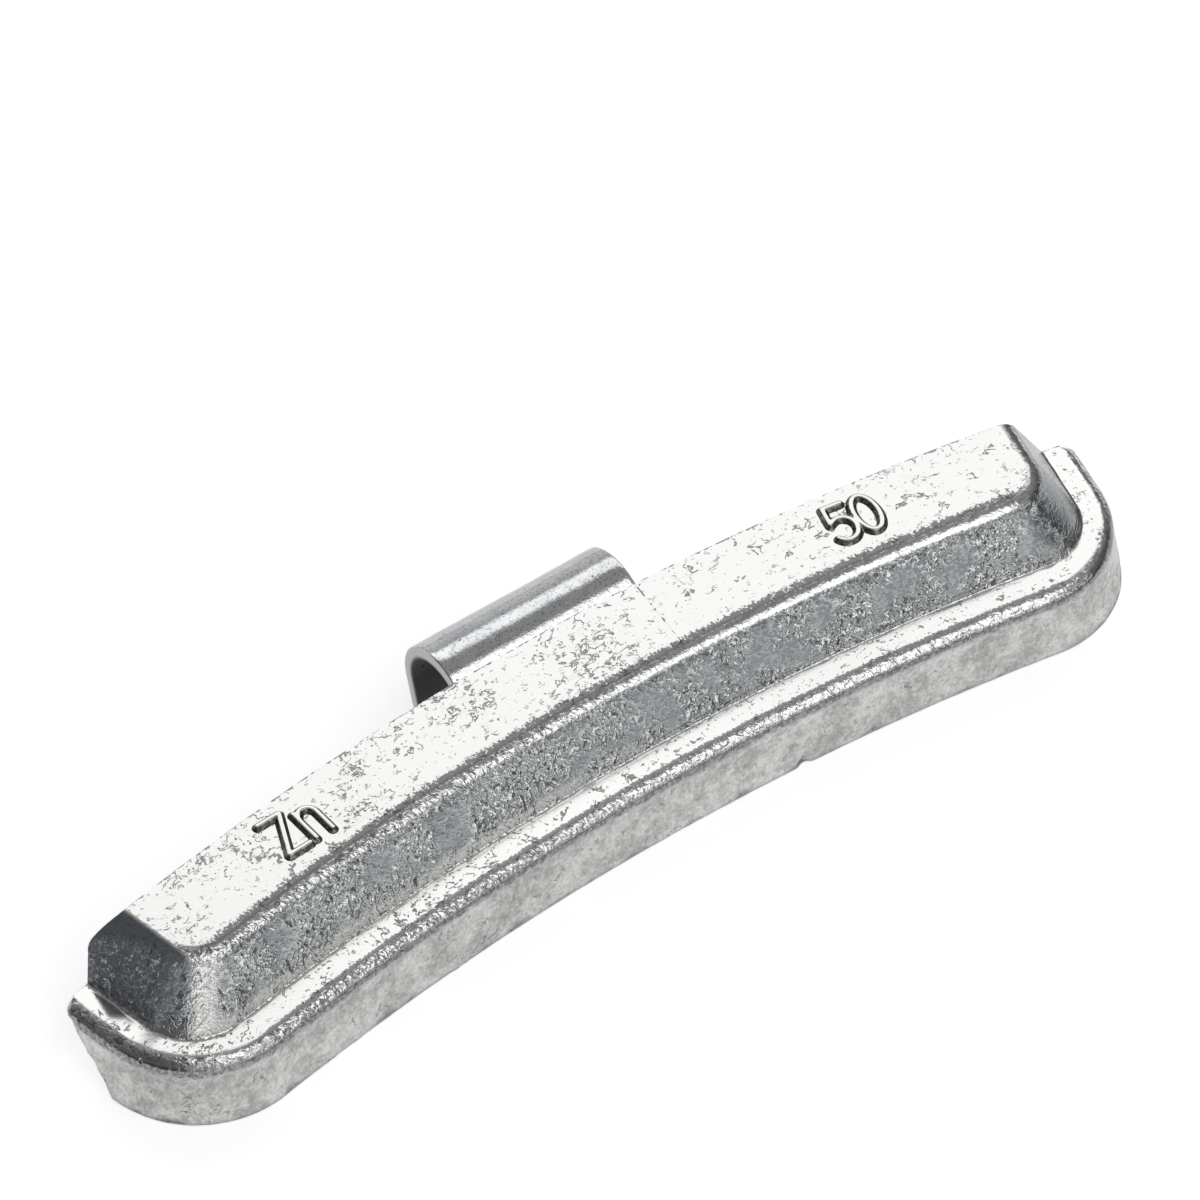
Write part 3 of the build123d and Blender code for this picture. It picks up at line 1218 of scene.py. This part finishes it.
def makeFloor():
    half = studio["floorSize"] / 2
    mesh = bpy.data.meshes.new("floor")
    corners = [(-half, -half, 0), (half, -half, 0), (half, half, 0), (-half, half, 0)]
    mesh.from_pydata(corners, [], [(0, 1, 2, 3)])
    piece = toMetres(newObject("floor", mesh))
    material, graph = newFinish("paleFloor")
    x, y, z = graph.parts(millimetres(graph))
    pool = (x * x + y * y).math("SQRT").ramp(studio["farReach"], studio["nearReach"])
    seen = seenRays(graph, ["Camera", "Glossy", "Transmission"])
    tone = graph.mix(pool, grey(studio["floorFar"]), grey(studio["floorNear"]))
    shine = graph.mix(pool * seen, grey(0.0), grey(studio["floorGlow"]))
    shine = graph.mix((1 - pool) * seenRays(graph, ["Camera"]), shine, grey(1.0))    # white to the far edge
    feeds = {"Base Color": tone, "Roughness": studio["floorRough"], "Emission Color": shine,
             "Emission Strength": 1.0}
    shader = graph.node("ShaderNodeBsdfPrincipled", None, feeds)
    graph.node("ShaderNodeOutputMaterial", None, {"Surface": shader})
    mesh.materials.append(material)


def makeWorld():
    world = bpy.data.worlds.new("studio")
    world.use_nodes = True
    scene.world = world
    graph = Graph(world.node_tree)
    x, y, z = graph.parts(graph.node("ShaderNodeTexCoord", None, None, "Generated"))
    front = abs(x).ramp(*skyRanges["front"])
    low = graph.mix(front, grey(studio["worldSide"]), grey(studio["worldFront"]))
    strip = x.ramp(*skyRanges["stripFrom"]) * x.ramp(*skyRanges["stripTo"]) * y.ramp(*skyRanges["stripFront"])
    low = graph.mix(strip, low, grey(studio["worldCorner"]))
    low = graph.mix(y.ramp(*skyRanges["back"]), low, grey(studio["worldBack"]))
    high = graph.mix(x.ramp(*skyRanges["left"]), grey(studio["worldHigh"]), grey(studio["worldLeft"]))
    tone = graph.mix(z.ramp(*skyRanges["high"]), low, high)
    tone = graph.mix(seenRays(graph, ["Camera"]), tone, grey(1.0))
    shader = graph.node("ShaderNodeBackground", None, {"Color": tone, "Strength": 1.0})
    graph.node("ShaderNodeOutputWorld", None, {"Surface": shader})


def makeSoftBox(name, azimuth, rise, distance, width, length, radiance):
    turn = math.radians(azimuth)
    climb = math.radians(rise)
    way = Vector((math.cos(climb) * math.cos(turn), math.cos(climb) * math.sin(turn), math.sin(climb)))
    light = bpy.data.lights.new(name, "AREA")
    light.shape = "RECTANGLE"
    light.size = width * mm
    light.size_y = length * mm
    light.energy = radiance * math.pi * light.size * light.size_y
    lamp = newObject(name, light)
    lamp.location = way * distance * mm
    lamp.rotation_euler = way.to_track_quat("Z", "Y").to_euler()


view = {
    "azimuth": -36.144,         # camera's right hand, from +X
    "rise": 49.021,
    "distance": 520.0,
    "target": (4.31, 8.43, 10.72),
    "lens": 228.26,
    "sensor": 36.0,
    "nearest": 10.0,            # clipping
}


def makeCamera():
    turn = math.radians(view["azimuth"])
    climb = math.radians(view["rise"])
    away = Vector((math.sin(turn) * math.cos(climb), -math.cos(turn) * math.cos(climb), math.sin(climb)))
    data = bpy.data.cameras.new("camera")
    data.lens = view["lens"]
    data.sensor_width = view["sensor"]
    data.clip_start = view["nearest"] * mm
    camera = newObject("camera", data)
    camera.location = (Vector(view["target"]) + away * view["distance"]) * mm
    camera.rotation_euler = away.to_track_quat("Z", "Y").to_euler()
    scene.camera = camera
    print("camera at", [round(value, 5) for value in camera.location])


makeFloor()
makeWorld()
for name, values in softBoxes.items():
    makeSoftBox(name, *values)
print("light set")
makeCamera()
